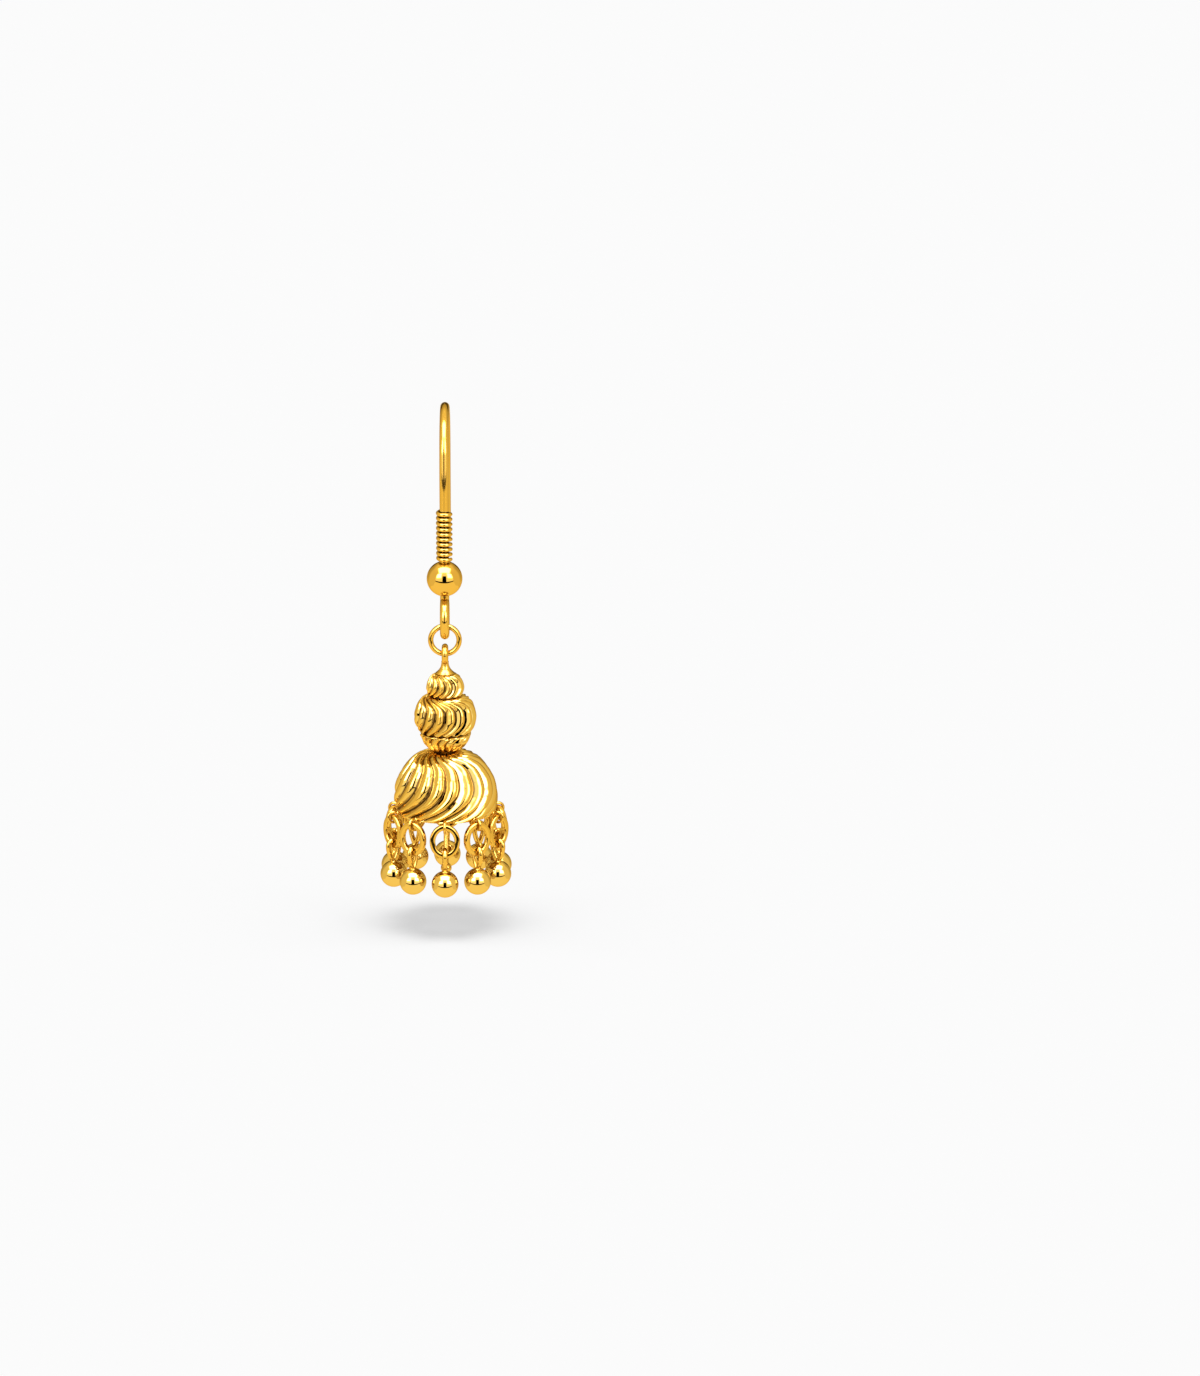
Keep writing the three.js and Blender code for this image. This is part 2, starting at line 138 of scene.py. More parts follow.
# %% Shells to a piece
def make_piece(name, node, shells, materials, inside=None):
    """Joins shells into one mesh in metres and lets it stand for a solid. inside marks the shell faces,
    counted from the first shell, that take the second material."""
    starts = np.cumsum([0] + [len(s["points"]) for s in shells])[:-1]
    points = np.concatenate([s["points"] for s in shells]) * MM
    quads = np.concatenate([s["quads"] + start for s, start in zip(shells, starts)])
    fans = np.concatenate([s["fans"] + start for s, start in zip(shells, starts)])
    mesh = bpy.data.meshes.new(name)
    mesh.vertices.add(len(points))
    mesh.vertices.foreach_set("co", points.ravel())
    mesh.loops.add(quads.size + fans.size)
    mesh.loops.foreach_set("vertex_index", np.concatenate([quads.ravel(), fans.ravel()]))
    mesh.polygons.add(len(quads) + len(fans))
    begins = np.concatenate([np.arange(len(quads)) * 4, quads.size + np.arange(len(fans)) * 3])
    mesh.polygons.foreach_set("loop_start", begins)
    mesh.polygons.foreach_set("use_smooth", np.ones(len(begins), bool))
    for material in materials:
        mesh.materials.append(material)
    if inside is not None:
        slots = np.zeros(len(begins), np.int32)
        slots[: len(inside)] = inside
        mesh.polygons.foreach_set("material_index", slots)
    mesh.update(calc_edges=True)
    depth = mesh.attributes.new("groove", "FLOAT", "POINT")
    depth.data.foreach_set("value", np.concatenate([s["groove"] for s in shells]).astype(np.float32))
    piece = bpy.data.objects.new(name, mesh)
    bpy.context.scene.collection.objects.link(piece)
    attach(piece, body_of_node[node])
    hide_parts(node)
    piece.visible_diffuse = False
    print(f"{name}: {len(quads) * 2 + len(fans)} triangles")
    return piece


# %% [markdown]
# Three ways of shaping cover the whole earring. Wire is drawn: a circle carried along a path. Balls and
# necks are turned: a profile carried round an axis. The beads and the dome are fluted, and come later.

# %% Drawn wire
TIP_ROWS = 7


def wire(path, thickness, closed=False, sides=24, across=(1.0, 0.0, 0.0), squareness=2.0):
    """A section carried along a path: point = path + r (cos k . side + sin k . up), where side and up
    stand square to the path. The section is a superellipse, |cos k|^n + |sin k|^n = 1 when scaled: a
    circle where the squareness n is 2, flatter-faced where it is more. An open wire ends in two round
    tips. across is any direction that the path never runs along."""
    path = np.asarray(path, float)
    step = np.roll(path, -1, axis=0) - np.roll(path, 1, axis=0) if closed else np.gradient(path, axis=0)
    along = step / np.linalg.norm(step, axis=1, keepdims=True)
    radius = np.broadcast_to(np.asarray(thickness, float) / 2, len(path)).copy()
    if not closed:
        tip = np.linspace(0, math.pi / 2, TIP_ROWS + 1)[1:]
        head = path[0] - along[0] * (radius[0] * np.sin(tip))[::-1, None]
        tail = path[-1] + along[-1] * (radius[-1] * np.sin(tip))[:, None]
        path = np.concatenate([head, path, tail])
        along = np.concatenate([np.repeat(along[:1], TIP_ROWS, axis=0), along,
                                np.repeat(along[-1:], TIP_ROWS, axis=0)])
        radius = np.concatenate([(radius[0] * np.cos(tip))[::-1], radius, radius[-1] * np.cos(tip)])
    up = np.asarray(across, float) - along * (along @ np.asarray(across, float))[:, None]
    up /= np.linalg.norm(up, axis=1, keepdims=True)
    side = np.cross(along, up)
    k = np.linspace(0, 2 * math.pi, sides, endpoint=False)
    reach = (np.abs(np.cos(k)) ** squareness + np.abs(np.sin(k)) ** squareness) ** (-1 / squareness)
    section = ((reach * np.cos(k))[None, :, None] * side[:, None]
               + (reach * np.sin(k))[None, :, None] * up[:, None])
    return lattice(path[:, None] + radius[:, None, None] * section, "ring" if closed else "poles")


def oval(half_width, half_height, centre, plane="xz", steps=72):
    """An oval path: half_width . sin t across and half_height . cos t up, t once round."""
    t = np.linspace(0, 2 * math.pi, steps, endpoint=False)
    flat, across = half_width * np.sin(t), np.zeros(steps)
    x, y = (flat, across) if plane == "xz" else (across, flat)
    return np.stack([x, y, half_height * np.cos(t)], axis=1) + np.asarray(centre)


# %% [markdown]
# A turned piece needs only its profile: how far from the axis, and how high. Where a curve runs through a
# few known points, it is drawn smoothly through them, as a bent spline lies against pins.

# %% Turned pieces
def through(points, count):
    """A smooth curve through the rows of a short table, with count rows. Between two rows it is a cubic
    that leaves and arrives in the direction of the rows on either side."""
    points = np.asarray(points, float)
    chord = np.concatenate([[0], np.cumsum(np.linalg.norm(np.diff(points[:, :2], axis=0), axis=1))])
    slope = np.gradient(points, chord, axis=0)
    s = np.linspace(0, chord[-1], count)
    i = np.clip(np.searchsorted(chord, s, side="right") - 1, 0, len(chord) - 2)
    gap = (chord[i + 1] - chord[i])[:, None]
    t = (s - chord[i])[:, None] / gap
    return ((2 * t**3 - 3 * t**2 + 1) * points[i] + (t**3 - 2 * t**2 + t) * gap * slope[i]
            + (3 * t**2 - 2 * t**3) * points[i + 1] + (t**3 - t**2) * gap * slope[i + 1])


def turned(profile, centre=(0.0, None), sides=72, ends="poles"):
    """A profile of (radius, height) rows carried round an upright axis through centre."""
    profile = np.asarray(profile, float)
    k = np.linspace(0, 2 * math.pi, sides, endpoint=False)
    x = profile[:, :1] * np.sin(k) + centre[0]
    y = -profile[:, :1] * np.cos(k) + (drop_y if centre[1] is None else centre[1])
    return lattice(np.stack([x, y, np.broadcast_to(profile[:, 1:2], x.shape)], axis=-1), ends)


def ball_profile(radius, height, start=0.0, end=math.pi, count=40):
    """The profile of a ball from polar angle start, at its top, to end."""
    polar = np.linspace(start, end, count)
    return np.stack([radius * np.sin(polar), height + radius * np.cos(polar)], axis=1)


# %% [markdown]
# The camera comes before the looks, because every reflection is judged from where it stands. The
# photograph was taken with a long lens from a little above, midway between the pair. This earring hangs
# left of the picture's middle, so it is seen very slightly from its right.

# %% Camera
PICTURE_WIDTH_MM = 101.0         # what the frame's width spans at the earring
CAMERA_DISTANCE_MM = 600.0
CAMERA_ELEVATION = math.radians(15.0)
AIM_MM = np.array([13.03, drop_y, -22.83])
SENSOR_MM = 36.0

camera_data = bpy.data.cameras.new("camera")
camera_data.sensor_fit = "HORIZONTAL"
camera_data.sensor_width = SENSOR_MM
camera_data.lens = SENSOR_MM * CAMERA_DISTANCE_MM / PICTURE_WIDTH_MM
camera_data.clip_start = 0.01
camera = bpy.data.objects.new("camera", camera_data)
backwards = np.array([0.0, -math.cos(CAMERA_ELEVATION), math.sin(CAMERA_ELEVATION)])
camera.location = (AIM_MM + CAMERA_DISTANCE_MM * backwards) * MM
camera.rotation_euler = (math.pi / 2 - CAMERA_ELEVATION, 0, 0)
bpy.context.scene.collection.objects.link(camera)
bpy.context.scene.camera = camera
print(f"a {camera_data.lens:.0f} mm lens at {CAMERA_DISTANCE_MM:.0f} mm")

# %% [markdown]
# The floor is a plain white sheet, three and a half millimetres below the lowest balls, so that it takes a
# soft shadow. It isn't part of the earring. The metal doesn't mirror it: what the metal sees below it is
# painted in the studio round it, where its brightness can be chosen.

# %% Floor
FLOOR_Z_MM = -43.35
FLOOR_HALF_MM = 6000.0
FLOOR_WHITE = (0.9, 0.9, 0.9, 1)

floor_mesh = bpy.data.meshes.new("floor")
corners = np.array([[-1, -1], [1, -1], [1, 1], [-1, 1]]) * FLOOR_HALF_MM
floor_mesh.from_pydata(np.column_stack([corners, np.full(4, FLOOR_Z_MM)]) * MM, [], [(0, 1, 2, 3)])
floor = bpy.data.objects.new("floor", floor_mesh)
floor.visible_glossy = False
bpy.context.scene.collection.objects.link(floor)

floor_material = bpy.data.materials.new("white sheet")
floor_material.use_nodes = True
sheet = floor_material.node_tree.nodes["Principled BSDF"]
sheet.inputs["Base Color"].default_value = FLOOR_WHITE
sheet.inputs["Roughness"].default_value = 1.0
sheet.inputs["Specular IOR Level"].default_value = 0.0
floor_mesh.materials.append(floor_material)
print("the floor lies at z", FLOOR_Z_MM, "mm")

# %% [markdown]
# A photographer who shoots polished metal builds a tent round it. On the round bead of the ear wire the
# whole tent can be read: a soft box overhead and one on either side of the camera, which make three white
# patches, the dark gap for the camera between them, a thin dark line where the table ends in front, the
# even table below, and dimmer walls. The studio is drawn as a sky of those few cards, by direction. All
# but the soft boxes are a little warm, from the gold that lights them. The floor and the camera see plain
# white instead. Light that goes from lobe to lobe loses a little at each touch and would come out too red,
# so the studio looks dimmer and cooler to a ray that has bounced more than once. No rays are aimed at the
# sky: the floor finds it by scattered rays alone, which keeps its white even.

# %% Studio
TABLE_GLOW = 0.98
WALL_GLOW = 0.80
CEILING_GLOW = 0.95
WARM = (1.0, 0.87, 0.40, 1)
# A card reaches from low to high and as far to either side as "within" says, from "beyond" on where it has
# one. Its edges are soft over "soft". All are in degrees.
BACK_WALL = {"within": 62, "low": -12, "high": 40, "soft": 24, "glow": 0.50}
BACK_DOOR = {"within": 30, "low": -2, "high": 20, "soft": 8, "glow": 0.08}
FRONT_WALL = {"within": 59, "low": -8, "high": 48, "soft": 5, "glow": 1.2}
SIDE_BOX = {"beyond": 22, "within": 54, "low": 19, "high": 50, "soft": 9, "glow": 5.5}
TOP_BOX = {"within": 32, "low": 52, "high": 92, "soft": 10, "glow": 5.5}
TABLE_EDGE = {"within": 60, "low": -17.2, "high": -7.5, "soft": 1.5, "glow": 0.01}
CAMERA_GAP = {"within": 13, "low": -9, "high": 29, "soft": 2.5, "glow": 0.0}
FRONT_WALL_WHITENESS = 0.4
TABLE_FAR_EDGE = (-13, -11)      # how high the table's far edge lies in front
TABLE_TURN = (56, 88, 20)        # from 56 to 88 degrees off the front, that edge sinks by 20
CEILING_EDGE = (30, 60)
BACKGROUND = 0.956               # what the camera sees
AMBIENT_ON_FLOOR = 0.665         # what the floor's scattered rays see
FIRST_DEPTH = 2.0                # the ray depth at which the studio is seen in a single reflection
BOUNCE_DIMMING = 0.72            # real plating is a little duller than the ideal, bounce by bounce
BOUNCE_COLOUR = (0.80, 1.0, 1.5, 1)
COOLING_BY_BOUNCE = 0.45         # each further bounce goes this share of the way to that colour
MOST_COOLED_BOUNCES = 2.0

world = bpy.data.worlds.new("studio")
world.use_nodes = True
world.cycles.sampling_method = "NONE"
bpy.context.scene.world = world
sky = world.node_tree
sky.nodes.clear()


def sky_math(operation, first, second=0.0):
    """One Math node of the studio, whose inputs are sockets or numbers."""
    node = sky.nodes.new("ShaderNodeMath")
    node.operation = operation
    for socket, value in zip(node.inputs, (first, second)):
        if isinstance(value, (int, float)):
            socket.default_value = value
        else:
            sky.links.new(value, socket)
    return node.outputs[0]


def step_up(angle, start, end, height=1.0):
    """0 below a start and height above an end, with a smooth rise between, all in degrees."""
    node = sky.nodes.new("ShaderNodeMapRange")
    node.interpolation_type = "SMOOTHSTEP"
    node.inputs["From Min"].default_value = start
    node.inputs["From Max"].default_value = end
    node.inputs["To Max"].default_value = height
    sky.links.new(angle, node.inputs["Value"])
    return node.outputs["Result"]


def inside_card(sideways, upwards, card):
    """1 inside a card and 0 outside it, from how far a direction is to the side and up, in degrees."""
    half = card["soft"] / 2
    share = sky_math("MULTIPLY", step_up(upwards, card["low"] - half, card["low"] + half),
                     sky_math("SUBTRACT", 1.0, step_up(upwards, card["high"] - half, card["high"] + half)))
    share = sky_math("MULTIPLY", share, sky_math(
        "SUBTRACT", 1.0, step_up(sideways, card["within"] - half, card["within"] + half)))
    if "beyond" in card:
        share = sky_math("MULTIPLY", share, step_up(sideways, card["beyond"] - half, card["beyond"] + half))
    return share


def hang_card(glow, share, card):
    """Lays a card over what hangs there already: glow = old glow (1 - share) + card's glow . share."""
    kept = sky_math("MULTIPLY", glow, sky_math("SUBTRACT", 1.0, share))
    return sky_math("ADD", kept, sky_math("MULTIPLY", share, card["glow"]))


direction = sky.nodes.new("ShaderNodeTexCoord").outputs["Generated"]
parts = sky.nodes.new("ShaderNodeSeparateXYZ")
sky.links.new(direction, parts.inputs[0])
towards_front = sky_math("MULTIPLY", parts.outputs["Y"], -1.0)
elevation = sky_math("DEGREES", sky_math("ARCSINE", parts.outputs["Z"]))
over_front = sky_math("DEGREES", sky_math("ARCTAN2", parts.outputs["Z"], towards_front))
from_front = sky_math("ABSOLUTE", sky_math("DEGREES", sky_math("ARCTAN2", parts.outputs["X"], towards_front)))
from_back = sky_math("SUBTRACT", 180.0, from_front)
off_middle = sky_math("DEGREES", sky_math("ARCSINE", sky_math("ABSOLUTE", parts.outputs["X"])))

table_sinks = step_up(from_front, *TABLE_TURN)
above_table = step_up(sky_math("ADD", elevation, table_sinks), *TABLE_FAR_EDGE)
glow = sky_math("ADD", sky_math("MULTIPLY", above_table, WALL_GLOW - TABLE_GLOW), TABLE_GLOW)
glow = sky_math("ADD", glow, step_up(elevation, *CEILING_EDGE, CEILING_GLOW - WALL_GLOW))
for card in (BACK_WALL, BACK_DOOR):
    glow = hang_card(glow, inside_card(from_back, elevation, card), card)
front_wall = inside_card(from_front, over_front, FRONT_WALL)
glow = hang_card(glow, front_wall, FRONT_WALL)
side_box = inside_card(from_front, over_front, SIDE_BOX)
glow = hang_card(glow, side_box, SIDE_BOX)
top_box = inside_card(off_middle, over_front, TOP_BOX)
glow = hang_card(glow, top_box, TOP_BOX)
for card in (TABLE_EDGE, CAMERA_GAP):
    glow = hang_card(glow, inside_card(from_front, over_front, card), card)

rays = sky.nodes.new("ShaderNodeLightPath")
more_bounces = sky_math("MAXIMUM", sky_math("SUBTRACT", rays.outputs["Ray Depth"], FIRST_DEPTH), 0.0)
glow = sky_math("MULTIPLY", glow, sky_math("POWER", BOUNCE_DIMMING, more_bounces))
plain = sky_math("MAXIMUM", rays.outputs["Is Camera Ray"], rays.outputs["Is Diffuse Ray"])
plain_glow = sky_math("ADD", sky_math("MULTIPLY", rays.outputs["Is Camera Ray"], BACKGROUND),
                      sky_math("MULTIPLY", rays.outputs["Is Diffuse Ray"], AMBIENT_ON_FLOOR))
shown = sky_math("ADD", sky_math("MULTIPLY", glow, sky_math("SUBTRACT", 1.0, plain)), plain_glow)
whiteness = sky_math("MAXIMUM", plain, sky_math("MAXIMUM", side_box, top_box))
whiteness = sky_math("MAXIMUM", whiteness, sky_math("MULTIPLY", front_wall, FRONT_WALL_WHITENESS))
tint = sky.nodes.new("ShaderNodeMix")
tint.data_type = "RGBA"
tint.inputs[6].default_value = WARM
tint.inputs[7].default_value = (1, 1, 1, 1)
sky.links.new(whiteness, tint.inputs[0])
bounced = sky.nodes.new("ShaderNodeMix")
bounced.data_type = "RGBA"
bounced.inputs[7].default_value = BOUNCE_COLOUR
sky.links.new(tint.outputs[2], bounced.inputs[6])
cooled_bounces = sky_math("MINIMUM", more_bounces, MOST_COOLED_BOUNCES)
sky.links.new(sky_math("MULTIPLY", cooled_bounces, COOLING_BY_BOUNCE), bounced.inputs[0])
background = sky.nodes.new("ShaderNodeBackground")
sky.links.new(bounced.outputs[2], background.inputs["Color"])
sky.links.new(shown, background.inputs["Strength"])
sky.links.new(background.outputs[0], sky.nodes.new("ShaderNodeOutputWorld").inputs["Surface"])
print(len(sky.nodes), "nodes in the studio")

# %% [markdown]
# One wide lamp straight above gives the floor its even white and the small oval shadow. It is long from
# left to right and narrow from front to back, so the shadow fades slowly to the sides. It hangs so high
# that the whole floor gets the same light. The metal doesn't mirror it. Colours are shown as they are,
# without a film curve, so that gold stays as warm as it is.

# %% Lamp above
LAMP_HEIGHT = 20.0
LAMP_WIDE = math.radians(58)
LAMP_DEEP = math.radians(34)
LIGHT_ON_FLOOR = 1.62             # what a sun lamp of this strength would give

lamp_data = bpy.data.lights.new("lamp", "AREA")
lamp_data.shape = "RECTANGLE"
lamp_data.size = 2 * LAMP_HEIGHT * math.tan(LAMP_WIDE / 2)
lamp_data.size_y = 2 * LAMP_HEIGHT * math.tan(LAMP_DEEP / 2)
lamp_data.energy = LIGHT_ON_FLOOR * math.pi * LAMP_HEIGHT**2
lamp = bpy.data.objects.new("lamp", lamp_data)
lamp.location = (0, drop_y * MM, LAMP_HEIGHT)
lamp.visible_glossy = False
lamp.visible_camera = False
bpy.context.scene.collection.objects.link(lamp)
bpy.context.scene.view_settings.view_transform = "Standard"
print(f"one lamp, {lamp_data.size:.0f} m by {lamp_data.size_y:.0f} m, {LAMP_HEIGHT:.0f} m up")

# %% [markdown]
# Hand polishing never leaves a perfect mirror. It leaves a faint waviness, which bends each reflection a
# little, and fine hairlines, which soften it. Every finish below needs that, so it is one node group with
# its own inputs, built once.

# %% Hand polish
def make_hand_polish():
    """A group that gives Roughness, Height and a Cloud mask from object coordinates."""
    group = bpy.data.node_groups.new("hand polish", "ShaderNodeTree")
    for name, value in (("Base Roughness", 0.08), ("Roughness Spread", 0.04), ("Wave Size", 900.0),
                        ("Wave Height", 1.0), ("Hairline Height", 0.1)):
        group.interface.new_socket(name, in_out="INPUT", socket_type="NodeSocketFloat").default_value = value
    for name in ("Roughness", "Height", "Cloud"):
        group.interface.new_socket(name, in_out="OUTPUT", socket_type="NodeSocketFloat")
    nodes, links = group.nodes, group.links
    inputs, outputs = nodes.new("NodeGroupInput"), nodes.new("NodeGroupOutput")
    coordinates = nodes.new("ShaderNodeTexCoord").outputs["Object"]

    def noise(scale, detail, stretch=None):
        texture = nodes.new("ShaderNodeTexNoise")
        texture.inputs["Detail"].default_value = detail
        vector = coordinates
        if stretch:
            mapping = nodes.new("ShaderNodeMapping")
            mapping.inputs["Scale"].default_value = stretch
            links.new(coordinates, mapping.inputs["Vector"])
            vector = mapping.outputs[0]
        links.new(vector, texture.inputs["Vector"])
        if isinstance(scale, float):
            texture.inputs["Scale"].default_value = scale
        else:
            links.new(scale, texture.inputs["Scale"])
        return texture.outputs["Fac"]

    def maths(operation, first, second):
        node = nodes.new("ShaderNodeMath")
        node.operation = operation
        for socket, value in zip(node.inputs, (first, second)):
            if isinstance(value, float):
                socket.default_value = value
            else:
                links.new(value, socket)
        return node.outputs[0]

    wave = noise(inputs.outputs["Wave Size"], 1.0)
    hairlines = noise(9000.0, 3.0, (1.0, 1.0, 0.15))
    cloud = noise(350.0, 2.0)
    spread = maths("MULTIPLY", maths("SUBTRACT", hairlines, 0.5), inputs.outputs["Roughness Spread"])
    links.new(maths("ADD", inputs.outputs["Base Roughness"], spread), outputs.inputs["Roughness"])
    height = maths("ADD", maths("MULTIPLY", wave, inputs.outputs["Wave Height"]),
                   maths("MULTIPLY", hairlines, inputs.outputs["Hairline Height"]))
    links.new(height, outputs.inputs["Height"])
    links.new(cloud, outputs.inputs["Cloud"])
    return group


hand_polish = make_hand_polish()
print("hand polish:", len(hand_polish.nodes), "nodes")

# %% [markdown]
# The plating is one gold, but it doesn't look one colour. Where two lobes face each other the light goes
# from wall to wall and comes out redder each time. To hold that back, the gold in such a groove is
# painted paler, as painted light. At the very bottom of each groove a fine dark line is painted in as
# shade. So each finish mixes an open gold, a groove gold and the painted groove shade by the groove mask,
# with a faint cloud. A thin clear coat lies over it all.

# %% Gold finishes
OPEN_GOLD = (0.96, 0.58, 0.13, 1)
# Painted light: in a groove the gold is painted paler, which offsets the redder light bounced from lobe to lobe.
GROOVE_GOLD = (0.96, 0.76, 0.36, 1)
# Painted shade: the deepest part of each groove is darkened towards this dark brown.
PAINTED_GROOVE_SHADE = (0.15, 0.07, 0.015, 1)
GROOVE_SHADE_STARTS = 0.66            # the groove mask from which the painted shade shows, and where it is full
GROOVE_SHADE_FULL = 0.97
CLOUD_SHARE = 0.12
EDGE_TINT = (0.92, 0.72, 0.42, 1)


def gold_finish(name, polish, groove_reach=0.0, bump=0.3, coat=0.15):
    """A gold whose base colour goes from open to groove gold as groove_reach . groove + cloud grows, and
    on to a painted dark shade where the groove is deepest."""
    material = bpy.data.materials.new(name)
    material.use_nodes = True
    nodes, links = material.node_tree.nodes, material.node_tree.links
    shader = nodes["Principled BSDF"]
    shader.inputs["Metallic"].default_value = 1.0
    shader.inputs["Coat Weight"].default_value = coat
    shader.inputs["Coat Roughness"].default_value = 0.03
    shader.inputs["Specular Tint"].default_value = EDGE_TINT
    finish = nodes.new("ShaderNodeGroup")
    finish.node_tree = hand_polish
    for key, value in polish.items():
        finish.inputs[key].default_value = value
    groove = nodes.new("ShaderNodeAttribute")
    groove.attribute_name = "groove"
    reach = nodes.new("ShaderNodeMath")
    reach.operation = "MULTIPLY_ADD"
    reach.use_clamp = True
    reach.inputs[1].default_value = groove_reach
    links.new(groove.outputs["Fac"], reach.inputs[0])
    cloud = nodes.new("ShaderNodeMapRange")
    cloud.inputs["From Min"].default_value = 0.35
    cloud.inputs["From Max"].default_value = 0.65
    cloud.inputs["To Max"].default_value = CLOUD_SHARE
    links.new(finish.outputs["Cloud"], cloud.inputs["Value"])
    links.new(cloud.outputs["Result"], reach.inputs[2])
    colour = nodes.new("ShaderNodeMix")
    colour.data_type = "RGBA"
    colour.inputs[6].default_value = OPEN_GOLD
    colour.inputs[7].default_value = GROOVE_GOLD
    links.new(reach.outputs[0], colour.inputs[0])
    # Painted shade: where the groove mask is high, the colour is mixed towards a dark brown.
    groove_shade = nodes.new("ShaderNodeMapRange")
    groove_shade.interpolation_type = "SMOOTHSTEP"
    groove_shade.inputs["From Min"].default_value = GROOVE_SHADE_STARTS
    groove_shade.inputs["From Max"].default_value = GROOVE_SHADE_FULL
    links.new(groove.outputs["Fac"], groove_shade.inputs["Value"])
    shaded = nodes.new("ShaderNodeMix")
    shaded.data_type = "RGBA"
    links.new(groove_shade.outputs["Result"], shaded.inputs[0])
    links.new(colour.outputs[2], shaded.inputs[6])
    shaded.inputs[7].default_value = PAINTED_GROOVE_SHADE
    links.new(shaded.outputs[2], shader.inputs["Base Color"])
    links.new(finish.outputs["Roughness"], shader.inputs["Roughness"])
    relief = nodes.new("ShaderNodeBump")
    relief.inputs["Strength"].default_value = bump
    relief.inputs["Distance"].default_value = 0.00002
    links.new(finish.outputs["Height"], relief.inputs["Height"])
    links.new(relief.outputs["Normal"], shader.inputs["Normal"])
    return material


wire_gold = gold_finish("drawn wire gold", {
    "Base Roughness": 0.14, "Roughness Spread": 0.04, "Wave Size": 400.0, "Wave Height": 0.2,
    "Hairline Height": 0.004}, groove_reach=0.6)
mirror_gold = gold_finish("mirror ball gold", {
    "Base Roughness": 0.05, "Roughness Spread": 0.03, "Wave Size": 400.0, "Wave Height": 0.2,
    "Hairline Height": 0.004}, groove_reach=1.0, bump=0.15)
fluted_gold = gold_finish("fluted gold", {
    "Base Roughness": 0.05, "Roughness Spread": 0.03, "Wave Size": 700.0, "Wave Height": 0.25,
    "Hairline Height": 0.004}, groove_reach=0.9)
inner_gold = gold_finish("unpolished inside gold", {
    "Base Roughness": 0.30, "Roughness Spread": 0.15, "Wave Size": 1500.0, "Wave Height": 1.5,
    "Hairline Height": 0.6}, bump=0.6)
print("four gold finishes")

# %% [markdown]
# The ear wire is one length of round wire: a short leg behind the ear with its end rounded so that it
# slips through, a half circle over the ear, a leg in front, and a closed loop at the foot. It is bent by
# hand round a peg, so the front leg leaves the arch still leaning, straightens in a long easy bend, and
# leans a little the other way until the coil takes hold of it.

# %% Ear wire
EAR_WIRE_D = 0.77
HOOK_BEND_R = 4.2
BACK_LEG = 8.0
FOOT_LOOP_R = 1.42
UPPER_LEAN = math.radians(12.0)
UPPER_LEAN_LENGTH = 0.1
LEAN_BEND_R = 11.0
LOWER_LEAN = math.radians(2.5)
UPPER_STEPS, BEND_STEPS, LOWER_STEPS = 12, 16, 20

foot_loop_z = loop_foot_z + FOOT_LOOP_R
back_tip_z = EAR_WIRE_D / 2 - HOOK_BEND_R - BACK_LEG
coil_high, coil_low = high("wire_coil")[2], low("wire_coil")[2]


def straight(start, end, count):
    """Evenly spaced points from start to end, both included."""
    return np.linspace(np.asarray(start, float), np.asarray(end, float), count)


def front_leg(arch_end):
    """Directions and lengths down the front leg, summed into points. The lean is the angle from the
    upright: the upper lean, then a bend in which it falls evenly to minus the lower lean, then that lean
    down to the coil, and none below."""
    bend = np.linspace(UPPER_LEAN, -LOWER_LEAN, BEND_STEPS)
    bend_step = LEAN_BEND_R * (UPPER_LEAN + LOWER_LEAN) / (BEND_STEPS - 1)
    bend_foot_z = arch_end[2] - UPPER_LEAN_LENGTH * math.cos(UPPER_LEAN) - bend_step * np.cos(bend).sum()
    lower_length = (bend_foot_z - coil_high) / math.cos(LOWER_LEAN)
    lean = np.concatenate([np.full(UPPER_STEPS, UPPER_LEAN), bend, np.full(LOWER_STEPS, -LOWER_LEAN)])
    length = np.repeat([UPPER_LEAN_LENGTH / UPPER_STEPS, bend_step, lower_length / LOWER_STEPS],
                       [UPPER_STEPS, BEND_STEPS, LOWER_STEPS])
    steps = np.stack([np.zeros_like(lean), -length * np.sin(lean), -length * np.cos(lean)], axis=1)
    return np.asarray(arch_end) + np.cumsum(steps, axis=0)


def hook_path():
    """Up the back leg, over the arch as (R cos t, R sin t) in the YZ plane, and down the front leg. R is
    tried once with the full bend and then made smaller by as much as the leaning leg goes astray."""
    radius = HOOK_BEND_R
    for _ in range(3):
        centre_z = EAR_WIRE_D / 2 - radius
        t = np.linspace(0, math.pi - UPPER_LEAN, 90)
        arch = np.stack([np.zeros_like(t), radius * np.cos(t), centre_z + radius * np.sin(t)], axis=1)
        leg = front_leg(arch[-1])
        radius += leg[-1, 1] - drop_y
    back = straight((0, radius, back_tip_z), (0, radius, centre_z), 30)[:-1]
    foot = straight(leg[-1], (0, drop_y, foot_loop_z + FOOT_LOOP_R), 50)[1:]
    return np.concatenate([back, arch, leg, foot])


hook = wire(hook_path(), EAR_WIRE_D, sides=32)
under_coil = (hook["points"][:, 2] < coil_high) & (hook["points"][:, 2] > coil_low)
# Painted shade: the front leg under the coil gets the full groove mask, so it is painted dark there.
hook["groove"] = np.where(under_coil & (hook["points"][:, 1] < 0), 1.0, 0.0)
foot_loop = wire(oval(FOOT_LOOP_R, FOOT_LOOP_R, (0, drop_y, foot_loop_z), "yz", 96), EAR_WIRE_D,
                 closed=True, sides=32)
make_piece("hook_wire", "ear_wire", [hook, foot_loop], [wire_gold])

# %% [markdown]
# Fine wire is wound on the front leg in close turns and cut off at each end. Its path is a helix that lies
# right against the leg and drops most at the back: height = -pitch (a - level . sin a) / 2 pi for the angle
# a, which is 0 in front. The leg under the turns and the inner side of each turn are painted dark, as
# painted shade between the turns.

